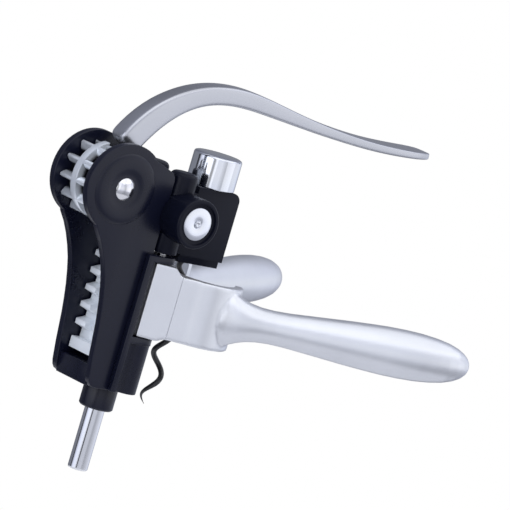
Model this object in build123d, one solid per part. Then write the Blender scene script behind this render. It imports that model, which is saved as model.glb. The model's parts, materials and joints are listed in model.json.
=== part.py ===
from build123d import *
from math import acos, atan2, cos, pi, radians, sin, sqrt, tan
import os

# Lever corkscrew, millimetres.  Origin on the worm axis at mid height of the bottle-neck
# clamp; +Z up along the worm, +X toward the handles, +Y to the rear.  Drawn as displayed:
# lever swung fully right, carriage fully down, the two jaws standing open.

# gear and rack
MODULE = 2.5
TEETH = 12
PRESSURE = 20.0
GEAR_X = -56.4
GEAR_Z = 46.6
GEAR_HALF_W = 10.2
BAND_HALF_W = 2.0
GEAR_ADD = 2.5
RACK_ADD = 1.7
ROOT_CLEAR = 0.4
FLANK_SLACK = 0.2
GEAR_PHASE = 7.5
RACK_HALF_W = 10.0
RACK_BACK_X = -35.4
RACK_BOTTOM = -30.0
RACK_TOP = 59.0
GROOVE_SLACK = 0.6
# frame
PLATE_IN = 11.0
PLATE_T = 3.5
HEAD_R = 20.0
DISC_R = 16.0
DISC_H = 1.0
DISH_H = 1.2
PIN_R = 3.0
RUN = 0.05
PIN_CAP_R = 5.0
PIN_CAP_H = 2.2
PLATE_BOTTOM = -42.0
WEB_X0 = -34.8
WEB_X1 = -31.8
HINGE_X = -24.0
HINGE_Y = 11.0
HINGE_PIN_R = 2.0
BARREL_R = 6.3
LIP_T = 2.9
JAW_TOP = 17.6
JAW_BOTTOM = -16.0
END_GAP = 0.3
BASE_TOP = -33.0
ROD_X = -26.7
ROD_R = 4.5
ROD_BOTTOM = -81.7
ROD_TOP = 46.0
ROD_SLIDE = 0.08
COLLAR_R = 7.7
COLLAR_BOTTOM = -53.3
NECK_R = 5.8
SCREW_R = 1.5
DOWEL_BITE = 2.0
# carriage
BODY_HALF_W = 9.4
BODY_BOTTOM = 22.3
BLOCK_BOTTOM = 18.6
BLOCK_X0 = -12.5
BLOCK_X1 = 11.2
BODY_TOP = 53.0
LEDGE_H = 3.0
SLEEVE_TOP = 58.5
BOSS_X = -22.4
BOSS_Z = 39.4
BOSS_R = 11.15
BOSS_OUT = 28.0
FACE_R = 9.3
FACE_DEPTH = 1.2
CHROME_DISC_R = 7.5
CHROME_DISC_T = 1.6
RIVET_R = 1.7
CAP_R = 11.0
CAP_H = 14.6
CAP_WALL = 1.4
CAP_BEVEL = 0.9
# worm
WORM_OD = 8.6
WIRE_R = 1.25
WORM_PITCH = 20.0
WORM_TIP = -48.6
WORM_TOP = 21.4
WORM_START = 263.0
HEAD_STEM_R = 5.2
HEAD_TOP = 46.0
FLANGE_R = 7.2
FLANGE_H = 3.0
# jaws
OPEN_ANGLE = 24.5
RING_IN = 14.7
RING_OUT = 18.5
RING_HALF_H = 14.4
SPLIT = 0.4
KNUCKLE_R = 6.1
LEAF_OUT = 7.0
LEAF_T = 4.6
LEAF_BACK = -2.5
LEAF_LEN = 10.8
GRIP_SIDE = 0.7
GRIP_RISE = 2.8
GRIP = [(34, 9.2), (40, 7.7), (50, 7.0), (62, 7.3), (80, 8.8), (100, 10.4), (116, 11.0),
        (131, 10.2), (142, 7.6), (147.5, 3.9), (149, 0)]
# lever, side outline in X, Z
LEVER_TOP = [(-59.6, 68.0), (-53.8, 75.1), (-41.6, 86.0), (-28.1, 93.3), (-13.4, 97.4),
             (2.5, 98.3), (17.1, 96.2), (33.2, 92.6), (49.5, 90.0), (66.5, 88.2), (86.1, 87.2),
             (101.5, 87.1), (113.0, 87.4)]
LEVER_BOTTOM = [(112.5, 84.1), (95.4, 83.0), (80.0, 82.8), (64.1, 83.7), (48.2, 85.1),
                (31.9, 87.2), (11.8, 89.2), (-2.1, 89.9), (-13.9, 89.1), (-25.0, 86.0),
                (-34.9, 80.1), (-41.6, 72.0), (-45.0, 64.0)]
LEVER_HALF_W = 5.0
PADDLE_HALF_W = 8.4
TONGUE_HALF_W = 3.8
SEAT_R = 14.2
TONGUE_R = 7.2
ROOT_ANGLE = 78.0
DOWEL_R = 1.25

PITCH_R = MODULE * TEETH / 2
PITCH_X = GEAR_X + PITCH_R
RACK_PITCH = pi * MODULE


def box(x0, x1, y0, y1, z0, z1):
    return Pos((x0 + x1) / 2, (y0 + y1) / 2, (z0 + z1) / 2) * Box(x1 - x0, y1 - y0, z1 - z0)


def rod_z(x, y, z0, z1, r):
    return Pos(x, y, (z0 + z1) / 2) * Cylinder(r, z1 - z0)


def rod_y(x, z, y0, y1, r):
    return Pos(x, (y0 + y1) / 2, z) * Rot(90, 0, 0) * Cylinder(r, y1 - y0)


def prism_y(points, y0, y1):
    face = make_face(Polyline([(x, 0, z) for x, z in points], close=True))
    return extrude(Pos(0, y0, 0) * face, amount=y1 - y0, dir=(0, 1, 0))


def mirrored(shape):
    return mirror(shape, about=Plane.XZ)


# ---- toothed pieces
BASE_R = PITCH_R * cos(radians(PRESSURE))
TIP_R = PITCH_R + GEAR_ADD
ROOT_R = PITCH_R - RACK_ADD - ROOT_CLEAR


def involute(r):
    a = acos(min(1, BASE_R / r))
    return tan(a) - a


def half_angle(r):
    thick = pi / (2 * TEETH) - FLANK_SLACK / PITCH_R
    return thick + involute(PITCH_R) - involute(max(r, BASE_R))


def gear_outline():
    pts = []
    radii = [ROOT_R] + [BASE_R + (TIP_R - BASE_R) * k / 5 for k in range(6)]
    for i in range(TEETH):
        mid = radians(GEAR_PHASE + 360 / TEETH * i)
        pts += [(r, mid - half_angle(r)) for r in radii]
        pts += [(r, mid + half_angle(r)) for r in reversed(radii)]
    return [(GEAR_X + r * cos(a), GEAR_Z + r * sin(a)) for r, a in pts]


def turned(shape, angle):
    return Pos(GEAR_X, 0, GEAR_Z) * Rot(0, -angle, 0) * shape


gear = prism_y(gear_outline(), -GEAR_HALF_W, GEAR_HALF_W)
for side in (-1, 1):
    gear -= rod_y(GEAR_X, GEAR_Z, min(side * 4.5, side * 12), max(side * 4.5, side * 12), 10.6)
    hub = (side * 4.5, side * GEAR_HALF_W)
    gear += rod_y(GEAR_X, GEAR_Z, min(hub), max(hub), 5.5)
gear += rod_y(GEAR_X, GEAR_Z, -BAND_HALF_W, BAND_HALF_W, TIP_R)
gear -= rod_y(GEAR_X, GEAR_Z, -GEAR_HALF_W - 1, GEAR_HALF_W + 1, PIN_R + RUN)
seat_cut = turned(box(SEAT_R, TIP_R + 3, -12, 12, -8.5, 8.5), ROOT_ANGLE)
tongue = turned(box(TONGUE_R, SEAT_R + 2, -TONGUE_HALF_W, TONGUE_HALF_W, -5.5, 5.5), ROOT_ANGLE)
tongue_slot = turned(box(TONGUE_R, SEAT_R + 6, -TONGUE_HALF_W, TONGUE_HALF_W, -5.5, 5.5), ROOT_ANGLE)
gear = gear - seat_cut - tongue_slot
dowels = []
dowel_holes = []
for lift in (-3.2, 3.2):
    place = turned(Pos(SEAT_R - 2.6, 0, lift) * Rot(90, 0, 0) * Cylinder(DOWEL_R, 9.0), ROOT_ANGLE)
    dowels.append(place)
lever_dowels = Compound(dowels)
for d in dowels:
    gear -= d

rack_tip_x = PITCH_X - RACK_ADD
rack_root_x = PITCH_X + GEAR_ADD + ROOT_CLEAR
# a tooth of the gear stands at GEAR_PHASE: a rack gap stands level with it after rolling
mesh_z = GEAR_Z + radians(GEAR_PHASE) * PITCH_R
rack = box(rack_root_x, RACK_BACK_X, -RACK_HALF_W, RACK_HALF_W, RACK_BOTTOM, RACK_TOP)
slope = tan(radians(PRESSURE))
half_pitch_tooth = RACK_PITCH / 4 - FLANK_SLACK
for i in range(-12, 6):
    zc = mesh_z + RACK_PITCH * (i + 0.5)
    h0 = half_pitch_tooth + slope * (rack_root_x - PITCH_X)
    h1 = half_pitch_tooth - slope * RACK_ADD
    if zc - h0 > RACK_BOTTOM + 4 and zc + h0 < RACK_TOP:
        rack += prism_y([(rack_root_x + 0.2, zc - h0), (rack_tip_x, zc - h1), (rack_tip_x, zc + h1),
                         (rack_root_x + 0.2, zc + h0)], -RACK_HALF_W, RACK_HALF_W)
rack -= box(rack_tip_x - 1, GEAR_X + TIP_R + GROOVE_SLACK, -BAND_HALF_W - GROOVE_SLACK,
            BAND_HALF_W + GROOVE_SLACK, RACK_BOTTOM + 6, RACK_TOP + 1)
rack += box(rack_tip_x + 0.3, rack_root_x + 0.2, -RACK_HALF_W, RACK_HALF_W, RACK_BOTTOM, RACK_BOTTOM + 5)

# ---- lever arm
side_face = make_face(Spline([(x, 0, z) for x, z in LEVER_TOP])
                      + ThreePointArc((113.0, 0, 87.4), (114.6, 0, 85.9), (112.5, 0, 84.1))
                      + Spline([(x, 0, z) for x, z in LEVER_BOTTOM])
                      + Polyline((-45.0, 0, 64.0), (-49.4, 0, 56.6), (-59.4, 0, 58.8), (-59.6, 0, 68.0)))
lever = extrude(Pos(0, -12, 0) * side_face, amount=24, dir=(0, 1, 0))
plan_top = Spline((-64, LEVER_HALF_W), (0, LEVER_HALF_W), (50, LEVER_HALF_W + 0.8),
                  (85, PADDLE_HALF_W - 0.5), (103, PADDLE_HALF_W))
plan_tip = ThreePointArc((103, PADDLE_HALF_W), (115, 0), (103, -PADDLE_HALF_W))
plan_low = Spline((103, -PADDLE_HALF_W), (85, -PADDLE_HALF_W + 0.5), (50, -LEVER_HALF_W - 0.8),
                  (0, -LEVER_HALF_W), (-64, -LEVER_HALF_W))
plan = make_face(plan_top + plan_tip + plan_low + Line((-64, -LEVER_HALF_W), (-64, LEVER_HALF_W)))
lever = lever & extrude(Pos(0, 0, 50) * plan, amount=60)
root_cut = turned(box(SEAT_R - 12, SEAT_R, -9, 9, -14, 14), ROOT_ANGLE)
lever = lever - root_cut + tongue
for d in dowels:
    lever -= d
lever -= rod_y(GEAR_X, GEAR_Z, -10, 10, SEAT_R - 8)

# ---- side plates
LEFT = [(-70.6, 34.6), (-64.8, 27.4), (-58.6, 18.5), (-53.8, 8.0), (-50.6, -4.0), (-48.6, -16.0),
        (-47.2, -29.0), (-45.6, -40.0)]


def plate_blank(y0, y1):
    body = make_face(Spline([(x, 0, z) for x, z in LEFT])
                     + Polyline((-45.6, 0, -40.0), (-43.6, 0, PLATE_BOTTOM), (-31.0, 0, PLATE_BOTTOM),
                                (-31.0, 0, 54.5), (-33.0, 0, 57.6), (-46.0, 0, 62.2), (-56.4, 0, 65.0),
                                (-70.6, 0, 34.6)))
    slab = extrude(Pos(0, y0, 0) * body, amount=y1 - y0, dir=(0, 1, 0))
    return slab + rod_y(GEAR_X, GEAR_Z, y0, y1, HEAD_R)


def side_plate():
    y0 = PLATE_IN
    y1 = PLATE_IN + PLATE_T
    plate = plate_blank(y0, y1)
    plate += rod_y(GEAR_X, GEAR_Z, y1 - 0.2, y1 + DISC_H, DISC_R)
    dish = Pos(GEAR_X, y1 + DISC_H, GEAR_Z) * Rot(-90, 0, 0) * Cone(6.4, 8.2, DISH_H)
    plate -= dish
    plate -= rod_y(GEAR_X, GEAR_Z, y0 - 1, y1 + 3, PIN_R)
    for z in BASE_DOWEL_Z:
        plate -= rod_y(BASE_DOWEL_X, z, y0 - 1, y0 + DOWEL_BITE, SCREW_R)
    return plate


BASE_DOWEL_X = -40.0
BASE_DOWEL_Z = (-37.5,)
plate_rear = side_plate()
plate_front = mirrored(plate_rear)
pin_len = PLATE_IN + PLATE_T + DISC_H - DISH_H / 2
gear_pin = rod_y(GEAR_X, GEAR_Z, -pin_len, pin_len, PIN_R)
cap_ball_r = (PIN_CAP_R ** 2 + PIN_CAP_H ** 2) / (2 * PIN_CAP_H)
pin_cap_rear = Pos(GEAR_X, pin_len + PIN_CAP_H - cap_ball_r, GEAR_Z) * Sphere(cap_ball_r)
pin_cap_rear = pin_cap_rear & box(GEAR_X - 9, GEAR_X + 9, pin_len, pin_len + 9, GEAR_Z - 9, GEAR_Z + 9)
pin_cap_front = mirrored(pin_cap_rear)

# ---- frame bracket with the hinge barrels
lip_top0 = JAW_TOP + END_GAP
lip_top1 = lip_top0 + LIP_T
lip_low1 = JAW_BOTTOM - END_GAP
lip_low0 = lip_low1 - LIP_T
side = box(WEB_X0, WEB_X1, 0, HINGE_Y + 6.6, PLATE_BOTTOM, lip_top1)
for z0, z1 in ((lip_top0, lip_top1), (lip_low0, lip_low1)):
    side += rod_z(HINGE_X, HINGE_Y, z0, z1, BARREL_R + 0.3)
    side += box(WEB_X0, HINGE_X, HINGE_Y - 6.0, HINGE_Y + 6.6, z0, z1)
side += rod_z(HINGE_X, HINGE_Y, PLATE_BOTTOM, lip_low0, BARREL_R)
side += box(WEB_X0, HINGE_X, HINGE_Y - 5.0, HINGE_Y + 4.6, PLATE_BOTTOM, lip_low0)
side -= rod_z(HINGE_X, HINGE_Y, PLATE_BOTTOM + 6, lip_top1 + 1, HINGE_PIN_R)
side -= rod_z(ROD_X, 0, PLATE_BOTTOM - 1, lip_top1 + 1, ROD_R + 0.35)
side -= box(-60, -31.0, PLATE_IN, PLATE_IN + PLATE_T, PLATE_BOTTOM - 1, 60)
bracket = side + mirrored(side)
hinge_pin_rear = rod_z(HINGE_X, HINGE_Y, PLATE_BOTTOM + 6, lip_top1 + 0.6, HINGE_PIN_R)
hinge_pin_front = mirrored(hinge_pin_rear)
base = box(-45.0, WEB_X0, -PLATE_IN, PLATE_IN, PLATE_BOTTOM, BASE_TOP)
collar = rod_z(ROD_X, 0, COLLAR_BOTTOM, PLATE_BOTTOM, COLLAR_R)
collar = chamfer(collar.edges().filter_by(GeomType.CIRCLE).sort_by(Axis.Z)[:1], 0.8)
collar += rod_z(ROD_X, 0, PLATE_BOTTOM - 0.01, PLATE_BOTTOM + 9, NECK_R)
collar -= rod_z(ROD_X, 0, COLLAR_BOTTOM - 1, PLATE_BOTTOM + 10, ROD_R + ROD_SLIDE)
collar -= box(-60, WEB_X1, -20, 20, PLATE_BOTTOM, 0)
for s in (-1, 1):
    collar -= rod_z(HINGE_X, s * HINGE_Y, PLATE_BOTTOM, 0, BARREL_R)
base_dowels = []
for s in (-1, 1):
    for z in BASE_DOWEL_Z:
        ends = (s * 4.0, s * (PLATE_IN + DOWEL_BITE))
        peg = rod_y(BASE_DOWEL_X, z, min(ends), max(ends), SCREW_R)
        base_dowels.append(peg)
        base -= peg
base_dowels = Compound(base_dowels)

# ---- carriage
body = box(RACK_BACK_X, BLOCK_X0 + 1, -BODY_HALF_W, BODY_HALF_W, BODY_BOTTOM, BODY_TOP - 3)
block = box(BLOCK_X0, BLOCK_X1, -BODY_HALF_W, BODY_HALF_W, BLOCK_BOTTOM + LEDGE_H, BODY_TOP)
block = fillet(block.edges().filter_by(Axis.Y).sort_by(Axis.X)[-2:].sort_by(Axis.Z)[-1:], 4.0)
body += block
body += box(BLOCK_X0, BLOCK_X1 - 1.2, -BODY_HALF_W + 0.9, BODY_HALF_W - 0.9, BLOCK_BOTTOM,
            BLOCK_BOTTOM + LEDGE_H)
for s in (-1, 1):
    sleeve = rod_z(HINGE_X, s * HINGE_Y, BODY_BOTTOM, SLEEVE_TOP, BARREL_R)
    sleeve = fillet(sleeve.edges().filter_by(GeomType.CIRCLE).sort_by(Axis.Z)[-1:], 2.4)
    body += sleeve
body -= box(-60, -30.9, PLATE_IN - 0.35, 30, 0, 70)
body -= box(-60, -30.9, -30, -PLATE_IN + 0.35, 0, 70)
body -= rod_z(ROD_X, 0, BODY_BOTTOM - 1, ROD_TOP, ROD_R)
stem_slack = HEAD_STEM_R + 0.06
body -= rod_z(0, 0, BLOCK_BOTTOM - 1, BODY_TOP + 1, stem_slack)
body -= rod_z(0, 0, HEAD_TOP - FLANGE_H - 0.1, BODY_TOP + 1, FLANGE_R + 0.3)
NUT_TOP = BLOCK_BOTTOM + 2.6
body -= rod_z(0, 0, BLOCK_BOTTOM - 1, NUT_TOP, 7.0)
worm_nut = rod_z(0, 0, BLOCK_BOTTOM, NUT_TOP, 7.0) - rod_z(0, 0, BLOCK_BOTTOM - 1, NUT_TOP + 1, stem_slack)
thrust_washer = rod_z(0, 0, HEAD_TOP + 0.05, HEAD_TOP + 1.6, FLANGE_R + 0.3)
thrust_washer -= rod_z(0, 0, HEAD_TOP - 1, HEAD_TOP + 3, 3.0)
cover_top = BODY_TOP
plug = rod_z(0, 0, HEAD_TOP + 1.6, cover_top, FLANGE_R + 0.3)
cap = rod_z(0, 0, BODY_TOP, BODY_TOP + CAP_H, CAP_R)
cap = chamfer(cap.edges().filter_by(GeomType.CIRCLE).sort_by(Axis.Z)[-1:], CAP_BEVEL)
cap -= rod_z(0, 0, BODY_TOP - 1, BODY_TOP + CAP_H - 1.6, CAP_R - CAP_WALL)

drive_y = BODY_HALF_W
housing = rod_y(BOSS_X, BOSS_Z, drive_y, BOSS_OUT, BOSS_R)
housing = fillet(housing.edges().filter_by(GeomType.CIRCLE).sort_by(Axis.Y)[-1:], 0.9)
housing -= box(-60, -30.9, 0, PLATE_IN + PLATE_T + 0.35, 0, 80)
housing -= rod_y(BOSS_X, BOSS_Z, BOSS_OUT - FACE_DEPTH, BOSS_OUT + 1, FACE_R)
housing -= rod_y(BOSS_X, BOSS_Z, BOSS_OUT - FACE_DEPTH - 1.0, BOSS_OUT + 1, CHROME_DISC_R)
housing -= rod_y(BOSS_X, BOSS_Z, BOSS_OUT - 5.2, BOSS_OUT, 5.0)
housing -= rod_y(BOSS_X, BOSS_Z, 0, BOSS_OUT, SCREW_R + 0.5)
body_clear = rod_z(HINGE_X, HINGE_Y, BODY_BOTTOM, SLEEVE_TOP, BARREL_R)
housing -= body_clear
housing_rear = housing
housing_front = mirrored(housing_rear)
disc_y0 = BOSS_OUT - FACE_DEPTH - 1.0
disc = rod_y(BOSS_X, BOSS_Z, disc_y0, disc_y0 + CHROME_DISC_T, CHROME_DISC_R)
disc = fillet(disc.edges().filter_by(GeomType.CIRCLE).sort_by(Axis.Y)[-1:], 0.5)
disc -= rod_y(BOSS_X, BOSS_Z, disc_y0 - 1, disc_y0 + 4, RIVET_R)
rivet = rod_y(BOSS_X, BOSS_Z, disc_y0, disc_y0 + CHROME_DISC_T + 0.4, RIVET_R)
rivet -= Pos(BOSS_X, disc_y0 + CHROME_DISC_T + 0.9, BOSS_Z) * Sphere(1.2)
screws = []
for s in (-1, 1):
    a = s * 4.0
    b = s * (BOSS_OUT - 5.2)
    c = s * (BOSS_OUT - 3.0)
    one = rod_y(BOSS_X, BOSS_Z, min(a, b), max(a, b), SCREW_R + 0.5)
    one += rod_y(BOSS_X, BOSS_Z, min(b, c), max(b, c), 3.6)
    one -= box(BOSS_X - 5, BOSS_X + 5, min(c - s, c + s), max(c - s, c + s), BOSS_Z - .5, BOSS_Z + .5)
    screws.append(one)
    body -= one
housing_screws = Compound(screws)
rod = rod_z(ROD_X, 0, ROD_BOTTOM, ROD_TOP, ROD_R)
rod = chamfer(rod.edges().filter_by(GeomType.CIRCLE).sort_by(Axis.Z)[:1], 0.7)
for s in screws:
    rod -= s
rack_screws = []
for z in (29.0, 46.0):
    tip = RACK_BACK_X + 3.6
    one = Pos((rack_root_x + 0.6 + tip) / 2, 0, z) * Rot(0, 90, 0) * Cylinder(SCREW_R, tip - rack_root_x - 0.6)
    rack_screws.append(one)
    rack -= one
    body -= one
    rod -= one
rack_screws = Compound(rack_screws)

# ---- worm
helix_r = WORM_OD / 2 - WIRE_R
TAPER = 11.0
coil_bottom = WORM_TIP + TAPER
coil_h = WORM_TOP - coil_bottom
turn0 = WORM_START
path = Helix(WORM_PITCH, coil_h, helix_r, center=(0, 0, coil_bottom))
path = Rot(0, 0, turn0) * path
start = path @ 0
section = Plane(origin=start, z_dir=path % 0) * Circle(WIRE_R)
coil = sweep(section, path=path, is_frenet=True)
tip_sections = []
steps = 7
for k in range(steps + 1):
    f = k / steps
    z = coil_bottom - TAPER * f
    ang = radians(turn0) - 2 * pi * TAPER * f / WORM_PITCH
    rr = helix_r
    here = Vector(rr * cos(ang), rr * sin(ang), z)
    way = Vector(-rr * sin(ang), rr * cos(ang), WORM_PITCH / (2 * pi))
    size = WIRE_R * (1 - f) ** 0.75 + 0.12 * f
    tip_sections.append(Plane(origin=here, z_dir=way) * Circle(size))
worm_point = loft([s.face() if hasattr(s, "face") else s for s in tip_sections])
worm = coil + worm_point
worm_head = rod_z(0, 0, WORM_TOP - 2.8, HEAD_TOP, HEAD_STEM_R)
worm_head += rod_z(0, 0, HEAD_TOP - FLANGE_H, HEAD_TOP, FLANGE_R)
worm_head -= rod_z(0, 0, WORM_TOP - 3, WORM_TOP + 1.3, WORM_OD / 2 + 0.02)

# ---- jaws, drawn closed and swung open
rear_y = HINGE_Y
knuckle = rod_z(HINGE_X, rear_y, JAW_BOTTOM, JAW_TOP, KNUCKLE_R)
leaf = box(HINGE_X + LEAF_BACK, HINGE_X + LEAF_LEN + 3, rear_y + LEAF_OUT - LEAF_T, rear_y + LEAF_OUT,
           JAW_BOTTOM, JAW_TOP)
leaf -= prism_y([(HINGE_X + 6.8, JAW_TOP + 0.1), (HINGE_X + 14, JAW_TOP + 0.1), (HINGE_X + 14, RING_HALF_H),
                 (HINGE_X + 10.0, RING_HALF_H)], 0, 40)
leaf -= prism_y([(HINGE_X + 6.8, JAW_BOTTOM - 0.1), (HINGE_X + 14, JAW_BOTTOM - 0.1),
                 (HINGE_X + 14, -RING_HALF_H), (HINGE_X + 10.0, -RING_HALF_H)], 0, 40)
ring = rod_z(0, 0, -RING_HALF_H, RING_HALF_H, RING_OUT)
flank = prism_y([(HINGE_X, -RING_HALF_H), (0, -RING_HALF_H), (0, RING_HALF_H), (HINGE_X, RING_HALF_H)],
                rear_y - 4.5, rear_y + LEAF_OUT)
grip_face = make_face(Spline([(x, 0, r) for x, r in GRIP[:-1]] + [(GRIP[-1][0], 0, 0)])
                      + Polyline((GRIP[-1][0], 0, 0), (GRIP[0][0], 0, 0), (GRIP[0][0], 0, GRIP[0][1])))
grip = revolve(grip_face, axis=Axis.X)
grip = Pos(HINGE_X, rear_y + GRIP_SIDE, -1.0) * Rot(0, -GRIP_RISE, 0) * grip
jaw = knuckle + leaf + ring + flank + grip
jaw &= box(-60, 200, SPLIT, 60, -60, 60)
jaw -= rod_z(0, 0, -30, 30, RING_IN)
jaw -= rod_z(HINGE_X, rear_y, -30, 30, HINGE_PIN_R + RUN)
swing = Pos(HINGE_X, rear_y, 0) * Rot(0, 0, OPEN_ANGLE) * Pos(-HINGE_X, -rear_y, 0)
jaw_rear = swing * jaw
jaw_front = mirrored(jaw_rear)

PARTS = {
    "side_plate_front": plate_front, "side_plate_rear": plate_rear, "gear_pin": gear_pin,
    "pin_cap_front": pin_cap_front, "pin_cap_rear": pin_cap_rear, "frame_bracket": bracket,
    "frame_base": base, "rod_collar": collar, "base_dowels": base_dowels,
    "hinge_pin_front": hinge_pin_front, "hinge_pin_rear": hinge_pin_rear,
    "lever_arm": lever, "drive_gear": gear, "lever_dowels": lever_dowels,
    "drive_rack": rack, "guide_rod": rod, "rack_screws": rack_screws, "carriage_body": body,
    "boss_housing_front": housing_front, "boss_housing_rear": housing_rear,
    "housing_screws": housing_screws, "boss_disc_front": mirrored(disc), "boss_disc_rear": disc,
    "disc_rivet_front": mirrored(rivet), "disc_rivet_rear": rivet, "chrome_cap": cap,
    "thrust_washer": thrust_washer, "head_plug": plug, "worm_nut": worm_nut,
    "worm": worm, "worm_head": worm_head, "jaw_front": jaw_front, "jaw_rear": jaw_rear,
}
os.makedirs("parts", exist_ok=True)
for name, shape in PARTS.items():
    export_step(shape, f"parts/{name}.step")
    b = shape.bounding_box()
    print(name, len(shape.solids()), round(shape.volume, 1), [round(v, 1) for v in (*b.min, *b.max)])
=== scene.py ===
# %% [markdown]
# # A lever corkscrew, finished for the studio
# The working model of the corkscrew is already there: every solid, at its real size, with its
# joints. This lesson puts a maker's finish on it. Pieces whose shape matters to the eye are
# modelled again with bmesh operators, the rest keep their solid and get a proper material.

# %% Load the working model
import json
from math import cos, pi, radians, sin, sqrt

import bmesh
import bpy
from mathutils import Matrix, Vector


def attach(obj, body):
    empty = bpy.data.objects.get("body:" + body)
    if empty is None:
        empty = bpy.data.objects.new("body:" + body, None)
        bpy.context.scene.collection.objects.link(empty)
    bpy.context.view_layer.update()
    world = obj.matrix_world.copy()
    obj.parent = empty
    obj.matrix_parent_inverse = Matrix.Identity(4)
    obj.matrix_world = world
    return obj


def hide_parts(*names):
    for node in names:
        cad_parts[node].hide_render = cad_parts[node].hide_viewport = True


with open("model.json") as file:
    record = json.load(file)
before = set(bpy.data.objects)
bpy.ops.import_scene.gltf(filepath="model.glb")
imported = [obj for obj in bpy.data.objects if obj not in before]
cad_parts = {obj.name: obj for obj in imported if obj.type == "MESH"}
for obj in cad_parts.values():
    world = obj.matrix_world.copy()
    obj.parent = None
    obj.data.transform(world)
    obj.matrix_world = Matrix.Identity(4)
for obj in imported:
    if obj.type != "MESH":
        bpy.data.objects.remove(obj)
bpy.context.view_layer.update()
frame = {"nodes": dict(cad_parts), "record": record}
nodes = frame["nodes"]
MM = 0.001
print("solids:", len(nodes))

# %% [markdown]
# ## Writing materials as sums
# A material is easiest to read as arithmetic. Signal wraps one output socket, so that
# 0.3 + 0.1 * noise adds the Math nodes by itself. Every other node comes from Finish.node(),
# which sets the node's own settings first and then fills or links its sockets.


# %% A small language for materials
MIX_FACTOR, MIX_A, MIX_B, MIX_OUT = 0, 6, 7, 2  # the colour sockets of a Mix node


class Signal:
    def __init__(self, book, socket):
        self.book = book
        self.socket = socket

    def _math(self, operation, a, b):
        made = self.book.node("ShaderNodeMath", {"operation": operation}, {0: a, 1: b})
        return Signal(self.book, made.outputs[0])

    def __add__(self, other):
        return self._math("ADD", self, other)

    def __radd__(self, other):
        return self._math("ADD", other, self)

    def __sub__(self, other):
        return self._math("SUBTRACT", self, other)

    def __rsub__(self, other):
        return self._math("SUBTRACT", other, self)

    def __mul__(self, other):
        return self._math("MULTIPLY", self, other)

    def __rmul__(self, other):
        return self._math("MULTIPLY", other, self)


class Finish:
    """The node tree of one material, or of the world, and the nodes it is written with."""

    def __init__(self, owner):
        owner.use_nodes = True
        self.tree = owner.node_tree
        self.tree.nodes.clear()

    def node(self, kind, settings=None, inputs=None):
        made = self.tree.nodes.new(kind)
        for key, value in (settings or {}).items():
            if key == "stops":
                ramp = made.color_ramp.elements
                while len(ramp) < len(value):
                    ramp.new(0.5)
                for stop, (place, colour) in zip(ramp, value):
                    stop.position = place
                    stop.color = (*colour, 1)
            elif key == "flow":
                made.color_ramp.interpolation = value
            else:
                setattr(made, key, value)
        for key, value in (inputs or {}).items():
            if isinstance(value, Signal):
                self.tree.links.new(value.socket, made.inputs[key])
            else:
                made.inputs[key].default_value = value
        return made

    def out(self, made, key=0):
        return Signal(self, made.outputs[key])


# %% [markdown]
# ## The finishes of a metal tool
# Satin lacquer, plating, die casting and coated wire differ in how rough they are and in what
# their surface does at the scale of a millimetre. One recipe covers them all. Broad cloudy noise
# shifts the tone and the gloss a little, as handling does. A fine noise, stretched along a
# grain when the piece was ground or drawn, lifts the surface through a bump. On the gear, shade
# is painted into the colour between the teeth: it darkens towards the roots, following the
# distance from the gear's axis.


# %% The metal recipe
GEAR_X, GEAR_Z = -56.4, 46.6
CLOUD_SCALE, GRIT_DEPTH = 55.0, 0.0002
# painted shade: the dark colour painted into the roots of the gear teeth, and how far its edge
# wanders
PAINTED_ROOT_SHADE, ROOT_SHADE_PLAY = (0.012, 0.013, 0.018, 1), 0.0008


def metal(name, tone, deep, metallic, rough, rough_play, grain=(1, 1, 1), fine=900, bump=0.05,
          coat=0.0, specular=0.5, shaded_roots=None):
    material = bpy.data.materials.new(name)
    book = Finish(material)
    place = book.out(book.node("ShaderNodeTexCoord"), "Object")
    clouds = book.out(book.node("ShaderNodeTexNoise", {}, {
        "Vector": place, "Scale": CLOUD_SCALE, "Detail": 3.0, "Roughness": 0.55}), "Fac")
    stretched = book.out(book.node("ShaderNodeMapping", {}, {"Vector": place, "Scale": grain}))
    grit = book.out(book.node("ShaderNodeTexNoise", {}, {
        "Vector": stretched, "Scale": float(fine), "Detail": 4.0, "Roughness": 0.6}), "Fac")
    colour = book.out(book.node("ShaderNodeValToRGB", {"stops": [(0.3, deep), (0.7, tone)]},
                                {"Fac": 0.65 * clouds + 0.35 * grit}), "Color")
    # painted shade: the colour darkens towards the roots of the gear teeth, by distance from the
    # gear's axis
    if shaded_roots:
        dark_to, light_from = shaded_roots
        flat = book.out(book.node("ShaderNodeVectorMath", {"operation": "MULTIPLY"},
                                  {0: place, 1: (1.0, 0.0, 1.0)}))
        reach = book.out(book.node("ShaderNodeVectorMath", {"operation": "DISTANCE"},
                                   {0: flat, 1: (GEAR_X * MM, 0.0, GEAR_Z * MM)}), "Value")
        unshaded = book.out(book.node("ShaderNodeMapRange", {"interpolation_type": "SMOOTHSTEP"}, {
            "Value": reach + ROOT_SHADE_PLAY * clouds, "From Min": dark_to * MM,
            "From Max": light_from * MM}), "Result")
        colour = book.out(book.node("ShaderNodeMix", {"data_type": "RGBA"}, {
            MIX_FACTOR: unshaded, MIX_A: PAINTED_ROOT_SHADE, MIX_B: colour}), MIX_OUT)
    lift = book.out(book.node("ShaderNodeBump", {}, {
        "Height": grit, "Strength": bump, "Distance": GRIT_DEPTH}))
    shader = book.node("ShaderNodeBsdfPrincipled", {}, {
        "Base Color": colour, "Metallic": metallic, "Normal": lift,
        "Roughness": rough + rough_play * (0.6 * clouds + 0.4 * grit - 0.5),
        "Coat Weight": coat, "Coat Roughness": 0.25, "Specular IOR Level": specular})
    book.node("ShaderNodeOutputMaterial", {}, {"Surface": book.out(shader)})
    return material


# %% [markdown]
# Lacquer, plating and coating are the same recipe with other numbers: the light and the deep
# tone, how metallic, how rough, and how much the roughness plays. The black lacquer is a little
# blue, the plating of the cap is deeper than that of the rod, and the jaws are pearl silver.

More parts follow.
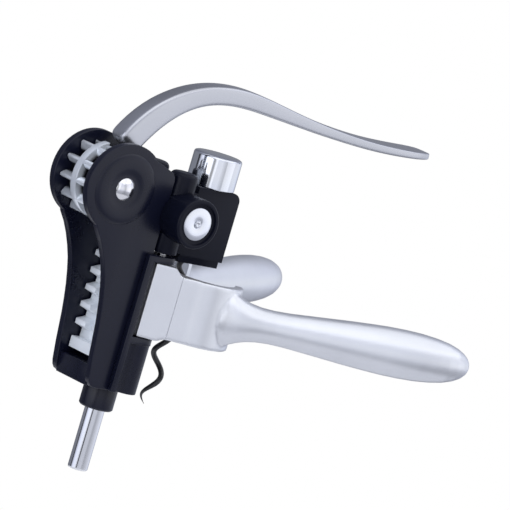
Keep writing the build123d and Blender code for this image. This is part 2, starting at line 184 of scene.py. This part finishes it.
# %% The finishes
ALONG_Z = (1.0, 1.0, 0.03)
ALONG_X = (0.03, 1.0, 1.0)
SATIN_BLACK = metal("satin_black_lacquer", (0.0058, 0.0070, 0.0190), (0.0040, 0.0050, 0.014), 0.0,
                    0.28, 0.08, bump=0.08, specular=0.31)
DEEP_BLACK = metal("deep_black_lacquer", (0.0040, 0.0050, 0.0130), (0.0030, 0.0038, 0.0100), 0.0,
                   0.33, 0.10, bump=0.08, specular=0.15)
CHROME = metal("bright_chrome", (0.90, 0.91, 0.93), (0.86, 0.87, 0.89), 1.0, 0.11, 0.04, bump=0.0)
DEEP_CHROME = metal("deep_chrome", (0.72, 0.74, 0.79), (0.67, 0.69, 0.74), 1.0, 0.11, 0.04,
                    bump=0.0)
STEEL = metal("drawn_steel", (0.82, 0.82, 0.84), (0.72, 0.72, 0.75), 1.0, 0.15, 0.10, ALONG_Z,
              bump=0.02)
LEVER_SILVER = metal("lever_satin_silver", (0.53, 0.54, 0.575), (0.505, 0.515, 0.55), 0.95, 0.29,
                     0.02, ALONG_X, bump=0.0)
PEARL = metal("pearl_silver_lacquer", (0.74, 0.755, 0.79), (0.68, 0.695, 0.73), 0.80, 0.33, 0.08,
              fine=2200, bump=0.03, coat=0.15)
CASTING = metal("grey_die_casting", (0.95, 0.98, 1.0), (0.84, 0.89, 0.95), 0.15, 0.34, 0.12,
                fine=1500, bump=0.06)
# the gear casting, with shade painted dark into the roots of its teeth
ROOT_SHADED_GEAR = metal("gear_casting_painted_root_shade", (0.92, 0.96, 1.0), (0.80, 0.85, 0.92), 0.55, 0.25, 0.10,
                fine=1500, bump=0.05, shaded_roots=(14.0, 16.2))
COATED = metal("non_stick_black", (0.012, 0.012, 0.013), (0.008, 0.008, 0.009), 0.0, 0.30, 0.10,
               bump=0.06)
BRASS = metal("turned_brass", (0.62, 0.45, 0.20), (0.52, 0.37, 0.15), 1.0, 0.28, 0.10, bump=0.03)
SLOT_FINISH = {"satin_black": SATIN_BLACK, "chrome": CHROME, "polished_steel": STEEL,
               "satin_silver": LEVER_SILVER, "pearl_silver": PEARL, "die_cast_grey": CASTING,
               "coated_worm": COATED, "brass": BRASS}
print("finishes:", len(bpy.data.materials))

# %% [markdown]
# Every solid of the working model takes the finish of its slot first. The ones that are
# modelled again below hide their solid, so this covers what is left, down to the last screw.

# %% Dress the solids
slot_of = {s["node"]: s["material_slot"] for s in frame["record"]["subparts"]}
body_of = {n: b for b, members in frame["record"]["behaviour"]["bodies"].items() for n in members}
for name, solid in nodes.items():
    solid.data.materials.clear()
    solid.data.materials.append(SLOT_FINISH[slot_of[name]])
print("dressed:", sorted(set(slot_of.values())))

# %% [markdown]
# ## Helpers for the bench
# Work happens in millimetres and is scaled once, when a piece is finished. A finished piece
# has outward faces, smooth shading with creases kept and its material; the solid that it stands
# for is hidden, and the piece joins that solid's body. The two other helpers copy what a workshop
# does most: turned() spins a profile as a lathe would, and slab() cuts an outline out of plate.

# %% Finish a piece, and the bench tools
CREASE = radians(32)


def finish(bm, name, stands_for, material, crease=CREASE, tidy=True):
    if tidy:
        bmesh.ops.remove_doubles(bm, verts=bm.verts, dist=1e-4)
        bmesh.ops.recalc_face_normals(bm, faces=bm.faces)
    bmesh.ops.scale(bm, vec=(MM, MM, MM), verts=bm.verts)
    mesh = bpy.data.meshes.new(name)
    bm.to_mesh(mesh)
    bm.free()
    piece = bpy.data.objects.new(name, mesh)
    bpy.context.scene.collection.objects.link(piece)
    mesh.polygons.foreach_set("use_smooth", [True] * len(mesh.polygons))
    mesh.set_sharp_from_angle(angle=crease)
    mesh.materials.append(material)
    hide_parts(stands_for)
    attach(piece, body_of[stands_for])
    print(f"{name}: {len(mesh.polygons)} faces")
    return piece


def round_edges(bm, width, segments, sharper_than):
    chosen = [e for e in bm.edges
              if len(e.link_faces) == 2 and e.calc_face_angle(0) > radians(sharper_than)]
    bmesh.ops.bevel(bm, geom=chosen, offset=width, offset_type="OFFSET", segments=segments,
                    profile=0.5, affect="EDGES", clamp_overlap=True, material=-1)


def loop(bm, verts):
    return [bm.edges.new((a, b)) for a, b in zip(verts, verts[1:])]


def turned(bm, profile, centre, along="Z", steps=72):
    """Turns a profile of (radius, distance along the axis) round that axis, as a lathe would."""
    axis = {"Z": Vector((0, 0, 1)), "Y": Vector((0, 1, 0)), "X": Vector((1, 0, 0))}[along]
    out = Vector((1, 0, 0)) if along != "X" else Vector((0, 0, 1))
    centre = Vector(centre)
    verts = [bm.verts.new(centre + out * r + axis * h) for r, h in profile]
    bmesh.ops.spin(bm, geom=verts + loop(bm, verts), cent=centre, axis=axis, angle=2 * pi,
                   steps=steps, use_merge=True, use_duplicate=False)
    bmesh.ops.remove_doubles(bm, verts=bm.verts, dist=1e-4)


def slab(bm, outline, y0, y1):
    """A flat outline in X and Z, given depth along Y."""
    verts = [bm.verts.new((x, y0, z)) for x, z in outline]
    made = bmesh.ops.edgeloop_fill(bm, edges=loop(bm, verts + verts[:1]))
    deep = bmesh.ops.extrude_face_region(bm, geom=made["faces"], use_keep_orig=True)
    moved = [g for g in deep["geom"] if isinstance(g, bmesh.types.BMVert)]
    bmesh.ops.translate(bm, vec=(0, y1 - y0, 0), verts=moved)


def flipped(bm):
    """The same piece on the other side of the tool."""
    twin = bm.copy()
    bmesh.ops.scale(twin, vec=(1, -1, 1), verts=twin.verts)
    bmesh.ops.recalc_face_normals(twin, faces=twin.faces)
    return twin


# %% [markdown]
# Castings and gears keep the shape of their solid, but no cast edge is as sharp as a drawn
# one. The solid's triangles are copied and merged, its flats are dissolved back into
# whole faces, and the crisp edges get a small round.


# %% Soften a solid
def softened(node, material, width, segments=2, sharper_than=38):
    bm = bmesh.new()
    bm.from_mesh(nodes[node].data)
    bmesh.ops.scale(bm, vec=(1 / MM,) * 3, verts=bm.verts)
    bmesh.ops.remove_doubles(bm, verts=bm.verts, dist=2e-3)
    bmesh.ops.dissolve_limit(bm, angle_limit=radians(0.6), verts=bm.verts, edges=bm.edges,
                             delimit={"NORMAL"})
    round_edges(bm, width, segments, sharper_than)
    bmesh.ops.triangulate(bm, faces=[f for f in bm.faces if len(f.verts) > 4])
    return finish(bm, node + "_cast", node, material, tidy=False)


softened("frame_bracket", SATIN_BLACK, 0.45)
softened("frame_base", SATIN_BLACK, 0.4)
softened("carriage_body", DEEP_BLACK, 0.5)
softened("drive_gear", ROOT_SHADED_GEAR, 0.22)
softened("drive_rack", CASTING, 0.25)

# %% [markdown]
# ## The side plates
# The two plates carry the gear pin between them. The outline is one smooth dog-bone: a round
# head, a long concave back and a narrow foot. A shallow turned disc stands on the head with a
# dished ring for the pin. A curve with bevel could do it too, but a face given depth keeps the
# outline exact, and the disc is then simply turned on top of it.

# %% Side plates
HEAD_R = 20.0
PLATE_IN, PLATE_OUT, DISC_STANDS = 11.0, 14.5, 1.0
PLATE_ROUND = 1.2
BACK = [(-65.1, 27.8), (-61.6, 23.4), (-58.6, 18.5), (-56.0, 13.3), (-53.8, 8.0), (-52.1, 2.2),
        (-50.6, -4.0), (-49.5, -10.0), (-48.6, -16.0), (-47.9, -22.5), (-47.2, -29.0),
        (-46.4, -35.0), (-46.0, -37.8), (-45.3, -39.9), (-44.2, -41.3), (-42.6, -42.0)]
SHOULDER = [(-32.0, -42.0), (-31.1, -41.2), (-31.0, 54.3), (-31.5, 56.0), (-33.0, 57.6),
            (-39.0, 59.9), (-45.4, 62.1)]
HEAD_FROM, HEAD_TO, HEAD_STEPS = 54, 243, 40
head = [(GEAR_X + HEAD_R * cos(a), GEAR_Z + HEAD_R * sin(a))
        for a in (radians(HEAD_FROM + (HEAD_TO - HEAD_FROM) * k / HEAD_STEPS)
                  for k in range(HEAD_STEPS + 1))]
plate = bmesh.new()
slab(plate, BACK + SHOULDER + head, PLATE_IN, PLATE_OUT)
bmesh.ops.recalc_face_normals(plate, faces=plate.faces)
round_edges(plate, PLATE_ROUND, 4, 50)
bmesh.ops.triangulate(plate, faces=[f for f in plate.faces if len(f.verts) > 4],
                      ngon_method="EAR_CLIP")
DISC = [(0, -1.3), (16.0, -1.3), (15.9, -0.95), (15.4, -0.55), (14.5, -0.25), (13.2, -0.06),
        (11.6, 0), (9.6, 0), (8.7, -0.1), (7.6, -0.38), (6.7, -0.56), (6.0, -0.6), (0, -0.6)]
turned(plate, [(r, PLATE_OUT + DISC_STANDS + h) for r, h in DISC], (GEAR_X, 0, GEAR_Z), "Y", 96)
for piece, name, node in ((flipped(plate), "front_plate", "side_plate_front"),
                          (plate, "rear_plate", "side_plate_rear")):
    finish(piece, name, node, SATIN_BLACK)

# %% [markdown]
# The gear pin's ends are peened into low polished domes. A squashed sphere would bulge at its
# rim, so the dome is a flat arc of a large circle, turned round the pin's axis.

# %% Pin domes
DOME_R, DOME_H, DOME_SEAT = 5.0, 2.2, 14.9
ball = (DOME_R ** 2 + DOME_H ** 2) / (2 * DOME_H)
arc = [(r, DOME_SEAT + sqrt(ball ** 2 - r ** 2) - ball + DOME_H)
       for r in (DOME_R * sin(pi / 2 * k / 12) for k in range(13))]
dome = bmesh.new()
turned(dome, arc + [(0, DOME_SEAT)], (GEAR_X, 0, GEAR_Z), "Y")
for piece, name, node in ((flipped(dome), "front_pin_dome", "pin_cap_front"),
                          (dome, "rear_pin_dome", "pin_cap_rear")):
    finish(piece, name, node, STEEL)

# %% [markdown]
# ## Turned and plated pieces
# The cap, the lock bosses with their discs, the guide rod and its collar all come off a lathe.
# Each is a short profile: radius first, then the distance along its axis. The small steps at
# the corners are what the plating catches the light on.

# %% Cap, collar and rod
CAP_Z, CAP_TOP, CAP_R = 53.0, 67.6, 11.0
cap = bmesh.new()
turned(cap, [(9.6, CAP_Z + 0.05), (10.75, CAP_Z + 0.05), (CAP_R, CAP_Z + 0.3),
             (CAP_R, CAP_TOP - 1.5), (10.9, CAP_TOP - 1.05), (10.55, CAP_TOP - 0.6),
             (9.9, CAP_TOP - 0.32), (7.5, CAP_TOP - 0.12), (4.0, CAP_TOP - 0.03), (0, CAP_TOP)],
       (0, 0, 0), "Z", 96)
bmesh.ops.holes_fill(cap, edges=cap.edges, sides=200)
finish(cap, "plated_cap", "chrome_cap", DEEP_CHROME, radians(40))
ROD_X, ROD_LOW, ROD_TOP = -26.7, -81.7, 46.0
rod = bmesh.new()
turned(rod, [(0, ROD_LOW), (3.7, ROD_LOW), (4.15, ROD_LOW + 0.15), (4.4, ROD_LOW + 0.45),
             (4.5, ROD_LOW + 0.9), (4.5, ROD_TOP), (0, ROD_TOP)], (ROD_X, 0, 0), "Z", 64)
finish(rod, "polished_guide_rod", "guide_rod", CHROME)
softened("rod_collar", SATIN_BLACK, 0.35)

# %% [markdown]
# Each lock boss holds a plated disc, held by a rivet with a dimpled head. Disc and rivet are
# turned once for the rear side and flipped for the front. The boss itself keeps its solid.

# %% Lock bosses, discs and rivets
BOSS, DISC_SEAT = (-22.4, 0, 39.4), 25.8
DISC_RIM = [(1.7, 0), (7.5, 0), (7.5, 1.1), (7.3, 1.45), (6.9, 1.6), (2.2, 1.6), (1.9, 1.5),
            (1.7, 1.3), (1.7, 0)]
RIVET_HEAD = [(0, 0), (1.65, 0), (1.65, 1.5), (1.5, 1.8), (1.15, 1.9), (0.85, 1.75), (0.5, 1.55),
              (0, 1.5)]
disc = bmesh.new()
turned(disc, [(r, DISC_SEAT + h) for r, h in DISC_RIM], BOSS, "Y")
rivet = bmesh.new()
turned(rivet, [(r, DISC_SEAT + h) for r, h in RIVET_HEAD], BOSS, "Y", 36)
for source, stem, node in ((disc, "lock_disc", "boss_disc"), (rivet, "lock_rivet", "disc_rivet")):
    finish(flipped(source), "front_" + stem, node + "_front", DEEP_CHROME)
    finish(source, "rear_" + stem, node + "_rear", DEEP_CHROME)
softened("boss_housing_front", DEEP_BLACK, 0.3)
softened("boss_housing_rear", DEEP_BLACK, 0.3)

# %% [markdown]
# ## The worm
# The worm is a drawn wire wound into an open helix, so that it parts the cork instead of
# boring it. A curve with a bevel would be shorter to write, but the wire has to taper to a
# point, so a small circle is walked along the helix: each step extrudes the ring, turns it and
# lowers it. Over the last half turn the ring shrinks to the point.

# %% Worm
WIRE_R, COIL_R, PITCH = 1.25, 3.05, 20.0
COIL_START, COIL_TOP, COIL_LOW, POINT = 263.0, 21.4, -37.6, 11.0
STEP, WIRE_SIDES, WIRE_LEAN, SHARP = 12.0, 16, 0.80, 0.10
worm = bmesh.new()
top_angle = radians(COIL_START + 360 * (COIL_TOP - COIL_LOW) / PITCH)
ring = bmesh.ops.create_circle(worm, cap_ends=False, radius=WIRE_R,
                               segments=WIRE_SIDES)["verts"]
lean = Matrix.Rotation(WIRE_LEAN - pi / 2, 4, "X")
bmesh.ops.transform(worm, matrix=Matrix.Rotation(top_angle, 4, "Z")
                    @ Matrix.Translation((COIL_R, 0, COIL_TOP)) @ lean, verts=ring)
edges = [e for e in worm.edges]
bmesh.ops.edgeloop_fill(worm, edges=edges)
drop = PITCH * STEP / 360
steps = int((COIL_TOP - COIL_LOW + POINT) / drop)
tip_from = (COIL_TOP - COIL_LOW) / drop
size = 1.0
angle = top_angle
z = COIL_TOP
for k in range(1, steps + 1):
    grown = bmesh.ops.extrude_edge_only(worm, edges=edges)["geom"]
    ring = [g for g in grown if isinstance(g, bmesh.types.BMVert)]
    edges = [g for g in grown if isinstance(g, bmesh.types.BMEdge)
             and all(v in ring for v in g.verts)]
    angle -= radians(STEP)
    z -= drop
    want = max(SHARP, (1 - max(0.0, k - tip_from) / (steps - tip_from)) ** 0.75)
    centre = Vector((COIL_R * cos(angle), COIL_R * sin(angle), z))
    bmesh.ops.rotate(worm, cent=(0, 0, 0), verts=ring,
                     matrix=Matrix.Rotation(-radians(STEP), 3, "Z"))
    bmesh.ops.translate(worm, vec=(0, 0, -drop), verts=ring)
    bmesh.ops.scale(worm, vec=(want / size,) * 3, space=Matrix.Translation(-centre), verts=ring)
    size = want
bmesh.ops.edgeloop_fill(worm, edges=edges)
finish(worm, "wound_worm", "worm", COATED, radians(60))

# %% [markdown]
# ## The lever
# The lever leaves the gear as a thick bar, arches over and flattens into a wide thumb paddle.
# Its shape is a row of stations. Each station is a rounded rectangle of its own width and
# thickness, set square to the arch, and the loops are bridged. A subdivision surface
# then makes the run between stations continuous.

# %% Lever
# station: x, z of the middle, slope in degrees, half thickness, half width
STATIONS = [
    (-54.2, 63.0, 60, 6.1, 5.0), (-51.2, 67.8, 55, 6.1, 5.0), (-46.9, 73.6, 49.5, 6.0, 5.0),
    (-41.6, 79.2, 41.5, 5.7, 5.0), (-35.4, 84.2, 34, 5.2, 5.0), (-27.8, 88.7, 25.5, 4.7, 5.0),
    (-19.5, 91.9, 17, 4.35, 5.0), (-10.5, 93.7, 7.5, 4.2, 5.0), (-1.0, 94.2, -0.5, 4.15, 5.0),
    (8.5, 93.6, -6, 4.0, 5.0), (18.5, 92.2, -8.8, 3.7, 5.05), (30.0, 90.4, -8.8, 3.15, 5.15),
    (42.0, 88.6, -7.6, 2.7, 5.4), (55.0, 87.0, -6, 2.35, 5.9), (68.0, 85.8, -4, 2.15, 6.7),
    (80.0, 85.1, -1.8, 2.05, 7.5), (91.0, 85.0, 0.6, 1.95, 8.1), (101.0, 85.2, 2.2, 1.8, 8.4),
    (107.0, 85.5, 3, 1.7, 8.0), (111.2, 85.7, 3, 1.55, 6.6), (113.6, 85.8, 3, 1.35, 4.0)]
SIDES, SQUARE = 28, 0.30  # points in a loop, and how far its circle is pushed to a rectangle
lever = bmesh.new()
rings = []
for x, zc, slope, half_t, half_w in STATIONS:
    ring = bmesh.ops.create_circle(lever, cap_ends=False, radius=1, segments=SIDES)["verts"]
    for v in ring:
        for i in (0, 1):
            v.co[i] = abs(v.co[i]) ** SQUARE * (1 if v.co[i] > 0 else -1)
    place = (Matrix.Translation((x, 0, zc)) @ Matrix.Rotation(-radians(slope), 4, "Y")
             @ Matrix(((0, 0, 1, 0), (half_w, 0, 0, 0), (0, half_t, 0, 0), (0, 0, 0, 1))))
    bmesh.ops.transform(lever, matrix=place, verts=ring)
    rings.append([e for e in lever.edges if all(v in ring for v in e.verts)])
for a, b in zip(rings, rings[1:]):
    bmesh.ops.bridge_loops(lever, edges=a + b)
for end in (rings[0], rings[-1]):
    bmesh.ops.edgeloop_fill(lever, edges=end)
lever_arm = finish(lever, "arched_lever", "lever_arm", LEVER_SILVER, radians(45))
smooth = lever_arm.modifiers.new("even_run", "SUBSURF")
smooth.levels = smooth.render_levels = 2

# %% [markdown]
# ## The clamp jaws
# Each jaw is one casting: a flat hinge leaf, half of the ring that grips the bottle neck, and
# a long egg-shaped handle that flows out of the ring. The leaf is a slab with cut corners, the
# half ring is a rectangle spun through half a turn, and knuckle and handle are turned. A
# voxel remesh melts the four into one skin, a little smoothing gives the soft inner corners of
# a casting, and then the bore and the hinge seam are cut, because those are machined.
# The jaw is built closed, then swung open by the angle that the solids stand at.

# %% Jaw shapes
HINGE, OPEN = Vector((-24.0, 11.0, 0.0)), 24.5
RING_IN, RING_OUT, RING_H = 14.7, 18.5, 14.4
RING_ROOT, HALF_GAP = 11.0, 0.4
LEAF_DEPTH, KNUCKLE_R, KNUCKLE = (13.2, 18.1), 6.1, (-16.0, 17.6)
LEAF = [(-26.5, -16.0), (-17.2, -16.0), (-13.8, -14.4), (-3.5, -14.4), (-3.5, 14.4), (-13.8, 14.4),
        (-17.2, 17.6), (-26.5, 17.6)]
GRIP = [
    (30, 0), (30.4, 6.0), (32, 10.5), (34.5, 12.2), (37, 12.3), (39.5, 11.2), (42.5, 9.8),
    (46, 8.7), (51, 7.8), (57, 7.5), (64, 7.7), (72, 8.3), (81, 9.0), (91, 9.8), (101, 10.45),
    (109, 10.85), (117, 10.95), (125, 10.7), (132, 10.0), (138, 8.9), (142.5, 7.4), (145.6, 5.7),
    (147.7, 3.8), (148.7, 2.0), (149, 0)]
FLARE_FROM, FLARE_END, FLARE_PINCH = 36.0, 52.0, 0.40
GRIP_RISE, GRIP_ASIDE, GRIP_DROP = 2.8, 0.7, 1.0
VOXEL, SOFTENING = 0.6, 7


def one_skin(bm, cutter_bm):
    """Melts overlapping shells into one, softens it, then cuts."""
    mesh = bpy.data.meshes.new("blank")
    bm.to_mesh(mesh)
    bm.free()
    blank = bpy.data.objects.new("blank", mesh)
    cut_mesh = bpy.data.meshes.new("cutter")
    cutter_bm.to_mesh(cut_mesh)
    cutter_bm.free()
    cutter = bpy.data.objects.new("cutter", cut_mesh)
    for thing in (blank, cutter):
        bpy.context.scene.collection.objects.link(thing)
    melt = blank.modifiers.new("melt", "REMESH")
    melt.mode = "VOXEL"
    melt.voxel_size = VOXEL
    soften = blank.modifiers.new("soften", "SMOOTH")
    soften.factor = 0.5
    soften.iterations = SOFTENING
    cut = blank.modifiers.new("cut", "BOOLEAN")
    cut.operation = "DIFFERENCE"
    cut.solver = "EXACT"
    cut.object = cutter
    graph = bpy.context.evaluated_depsgraph_get()
    made = bpy.data.meshes.new_from_object(blank.evaluated_get(graph))
    out = bmesh.new()
    out.from_mesh(made)
    for thing in (blank, cutter):
        bpy.data.objects.remove(thing)
    for spare in (mesh, cut_mesh, made):
        bpy.data.meshes.remove(spare)
    return out


# %% [markdown]
# Now the shells are laid over each other: half ring, leaf, knuckle and handle. Where the handle
# leaves the ring it is pinched sideways, so that its flare stays as slim as the ring's wall.
# The cutter is the bore, the fine seam beside the knuckle and the hole for the hinge pin.

# %% Jaws
jaw = bmesh.new()
corners = [jaw.verts.new((-r, HALF_GAP, z)) for r, z in (
    (RING_ROOT, -RING_H), (RING_OUT, -RING_H), (RING_OUT, RING_H), (RING_ROOT, RING_H))]
section = bmesh.ops.edgeloop_fill(jaw, edges=loop(jaw, corners + corners[:1]))["faces"]
bmesh.ops.spin(jaw, geom=section, cent=(0, HALF_GAP, 0), axis=(0, 0, 1), angle=-pi, steps=64,
               use_duplicate=False)
bmesh.ops.holes_fill(jaw, edges=jaw.edges, sides=4)
slab(jaw, LEAF, *LEAF_DEPTH)
foot, crown = KNUCKLE
turned(jaw, [(0, foot), (KNUCKLE_R, foot), (KNUCKLE_R, crown), (0, crown)], HINGE, "Z", 48)
grip = bmesh.new()
turned(grip, [(r, x) for x, r in GRIP], (0, 0, 0), "X", 72)
for v in grip.verts:
    near = max(0.0, (FLARE_END - v.co.x) / (FLARE_END - FLARE_FROM))
    v.co.y *= 1 - FLARE_PINCH * min(1.0, near) ** 2
bmesh.ops.transform(grip, verts=grip.verts,
                    matrix=Matrix.Translation((HINGE.x, HINGE.y + GRIP_ASIDE, -GRIP_DROP))
                    @ Matrix.Rotation(-radians(GRIP_RISE), 4, "Y"))
spare = bpy.data.meshes.new("spare")
grip.to_mesh(spare)
grip.free()
jaw.from_mesh(spare)
bpy.data.meshes.remove(spare)
bmesh.ops.recalc_face_normals(jaw, faces=jaw.faces)
cutter = bmesh.new()
PAST, PIN_HOLE_R = 20, 2.05  # the cutters reach past both faces
SEAM_X, SEAM_DEPTH = (-13.5, -13.15), (17.55, 20)
turned(cutter, [(0, -PAST), (RING_IN, -PAST), (RING_IN, PAST), (0, PAST)], (0, 0, 0), "Z", 96)
slab(cutter, [(SEAM_X[0], -PAST), (SEAM_X[1], -PAST), (SEAM_X[1], PAST), (SEAM_X[0], PAST)],
     *SEAM_DEPTH)
turned(cutter, [(0, -PAST), (PIN_HOLE_R, -PAST), (PIN_HOLE_R, PAST + 2), (0, PAST + 2)],
       HINGE, "Z", 32)
bmesh.ops.recalc_face_normals(cutter, faces=cutter.faces)
jaw = one_skin(jaw, cutter)
swing = (Matrix.Translation(HINGE) @ Matrix.Rotation(radians(OPEN), 4, "Z")
         @ Matrix.Translation(-HINGE))
bmesh.ops.transform(jaw, matrix=swing, verts=jaw.verts)
for piece, name, node in ((flipped(jaw), "front_jaw", "jaw_front"), (jaw, "rear_jaw", "jaw_rear")):
    finish(piece, name, node, PEARL, radians(35))

# %% [markdown]
# ## Studio
# The floor is a plain pale sheet well below the tool. Its finish is the same recipe as the
# others, without metal, and with a trace of its own light so that it stays pale from above.

# %% Floor
FLOOR_R, FLOOR_Z = 0.30, -0.200
floor_bm = bmesh.new()
bmesh.ops.create_circle(floor_bm, cap_ends=True, radius=FLOOR_R, segments=64)
bmesh.ops.translate(floor_bm, vec=(0, 0, FLOOR_Z), verts=floor_bm.verts)
floor_mesh = bpy.data.meshes.new("pale_floor")
floor_bm.to_mesh(floor_mesh)
floor_bm.free()
floor = bpy.data.objects.new("pale_floor", floor_mesh)
bpy.context.scene.collection.objects.link(floor)
paper = metal("pale_paper", (0.80, 0.80, 0.81), (0.77, 0.77, 0.78), 0.0, 0.9, 0.04)
paper_shader = next(n for n in paper.node_tree.nodes if n.type == "BSDF_PRINCIPLED")
paper_shader.inputs["Emission Color"].default_value = (1, 1, 1, 1)
paper_shader.inputs["Emission Strength"].default_value = 0.05
floor_mesh.materials.append(paper)
print("floor:", FLOOR_R, "m round at", FLOOR_Z)

# %% [markdown]
# Polished metal shows the room, so the room is the finish's other half. Three ramps, one for
# each axis of the world, are multiplied: bright round the waist and overhead, two dark flags on
# the left that draw the thin dark lines down the rod and the cap, and a dimmer back wall that
# darkens whatever faces away. The background itself stays white.

# %% The room that the metal reflects
HEIGHT = [(0.0, 0.25), (0.34, 0.60), (0.44, 1.10), (0.56, 1.10), (0.72, 0.85), (0.88, 1.0),
          (1.0, 1.30)]
FLAGS = [(0.0, 1.7), (0.06, 1.7), (0.085, 1.2), (0.105, 0.12), (0.15, 0.12), (0.175, 1.05),
         (0.42, 1.1), (0.60, 0.70), (0.82, 0.95), (1.0, 1.1)]
BACK_WALL = [(0.0, 1.10), (0.55, 1.10), (0.70, 0.66), (0.86, 0.28), (1.0, 0.28)]
COOL = (0.925, 0.94, 1.0)
world = bpy.data.worlds.new("studio")
bpy.context.scene.world = world
room = Finish(world)
looking = room.out(room.node("ShaderNodeTexCoord"), "Generated")
split = room.node("ShaderNodeSeparateXYZ", {}, {0: looking})


def band(axis, flow, stops):
    spread = room.out(room.node("ShaderNodeMapRange", {}, {
        "Value": room.out(split, axis), "From Min": -1.0}), "Result")
    cool = [(place, tuple(grey * c for c in COOL)) for place, grey in stops]
    return room.out(room.node("ShaderNodeValToRGB", {"flow": flow, "stops": cool},
                              {"Fac": spread}), "Color")


def times(a, b):
    return room.out(room.node("ShaderNodeMix", {"data_type": "RGBA", "blend_type": "MULTIPLY"}, {
        MIX_FACTOR: 1.0, MIX_A: a, MIX_B: b}), MIX_OUT)


walls = times(times(band("Z", "B_SPLINE", HEIGHT), band("X", "LINEAR", FLAGS)),
              band("Y", "B_SPLINE", BACK_WALL))
direct = room.out(room.node("ShaderNodeLightPath"), "Is Camera Ray")
shown = room.out(room.node("ShaderNodeMix", {"data_type": "RGBA"}, {
    MIX_FACTOR: direct, MIX_A: walls, MIX_B: (1.0, 1.0, 1.0, 1)}), MIX_OUT)
glow = room.node("ShaderNodeBackground", {}, {"Color": shown})
room.node("ShaderNodeOutputWorld", {}, {"Surface": room.out(glow)})
bpy.context.scene.view_settings.view_transform = "Standard"
print("room nodes:", len(room.tree.nodes))

# %% [markdown]
# Soft boxes model the shapes that the room alone would leave flat: a wide one overhead, one
# from the left, and a tall one from the right for the gleam down the handles. They are large,
# because a small lamp leaves a hard white patch on plating.


# %% Soft boxes
def soft_box(name, place, aim, wide, tall, power):
    light = bpy.data.lights.new(name, "AREA")
    light.shape = "RECTANGLE"
    light.size = wide
    light.size_y = tall
    light.energy = power
    lamp = bpy.data.objects.new(name, light)
    bpy.context.scene.collection.objects.link(lamp)
    lamp.location = place
    lamp.rotation_euler = (Vector(aim) - Vector(place)).to_track_quat("-Z", "Y").to_euler()
    print(f"{name}: {power} W")


soft_box("top_box", (0.1, -0.15, 0.75), (0, 0, 0), 1.4, 1.2, 2.6)
soft_box("left_box", (-0.75, -0.45, 0.25), (-0.03, 0, 0.03), 0.9, 1.2, 1.1)
soft_box("right_box", (0.55, -0.75, 0.35), (0.05, 0, 0.03), 0.8, 1.2, 1.0)

# %% [markdown]
# ## Camera
# A long lens from the front left, a little above, rolled so that the tool leans to the right.
# The long lens keeps near and far parts at almost one scale.

# %% Camera
AZIMUTH, ELEVATION, ROLL = radians(-39.5), radians(7.2), radians(16.5)
LENS, DISTANCE = 480.0, 2.995
AIM_SIDE, AIM_UP = 0.0348, 0.0200
back = Vector((sin(AZIMUTH) * cos(ELEVATION), -cos(AZIMUTH) * cos(ELEVATION), sin(ELEVATION)))
right = Vector((cos(AZIMUTH), sin(AZIMUTH), 0))
up = back.cross(right)
side = right * cos(ROLL) + up * sin(ROLL)
top = up * cos(ROLL) - right * sin(ROLL)
target = side * AIM_SIDE + top * AIM_UP
eye = target + back * DISTANCE
camera_data = bpy.data.cameras.new("camera")
camera_data.lens = LENS
camera_data.sensor_width = 36.0
camera = bpy.data.objects.new("camera", camera_data)
bpy.context.scene.collection.objects.link(camera)
camera.matrix_world = Matrix(((side.x, top.x, back.x, eye.x), (side.y, top.y, back.y, eye.y),
                              (side.z, top.z, back.z, eye.z), (0, 0, 0, 1)))
bpy.context.scene.camera = camera
print("camera at", [round(c, 3) for c in eye])

# %% [markdown]
# ## Done

# %% Update, and done
bpy.context.view_layer.update()
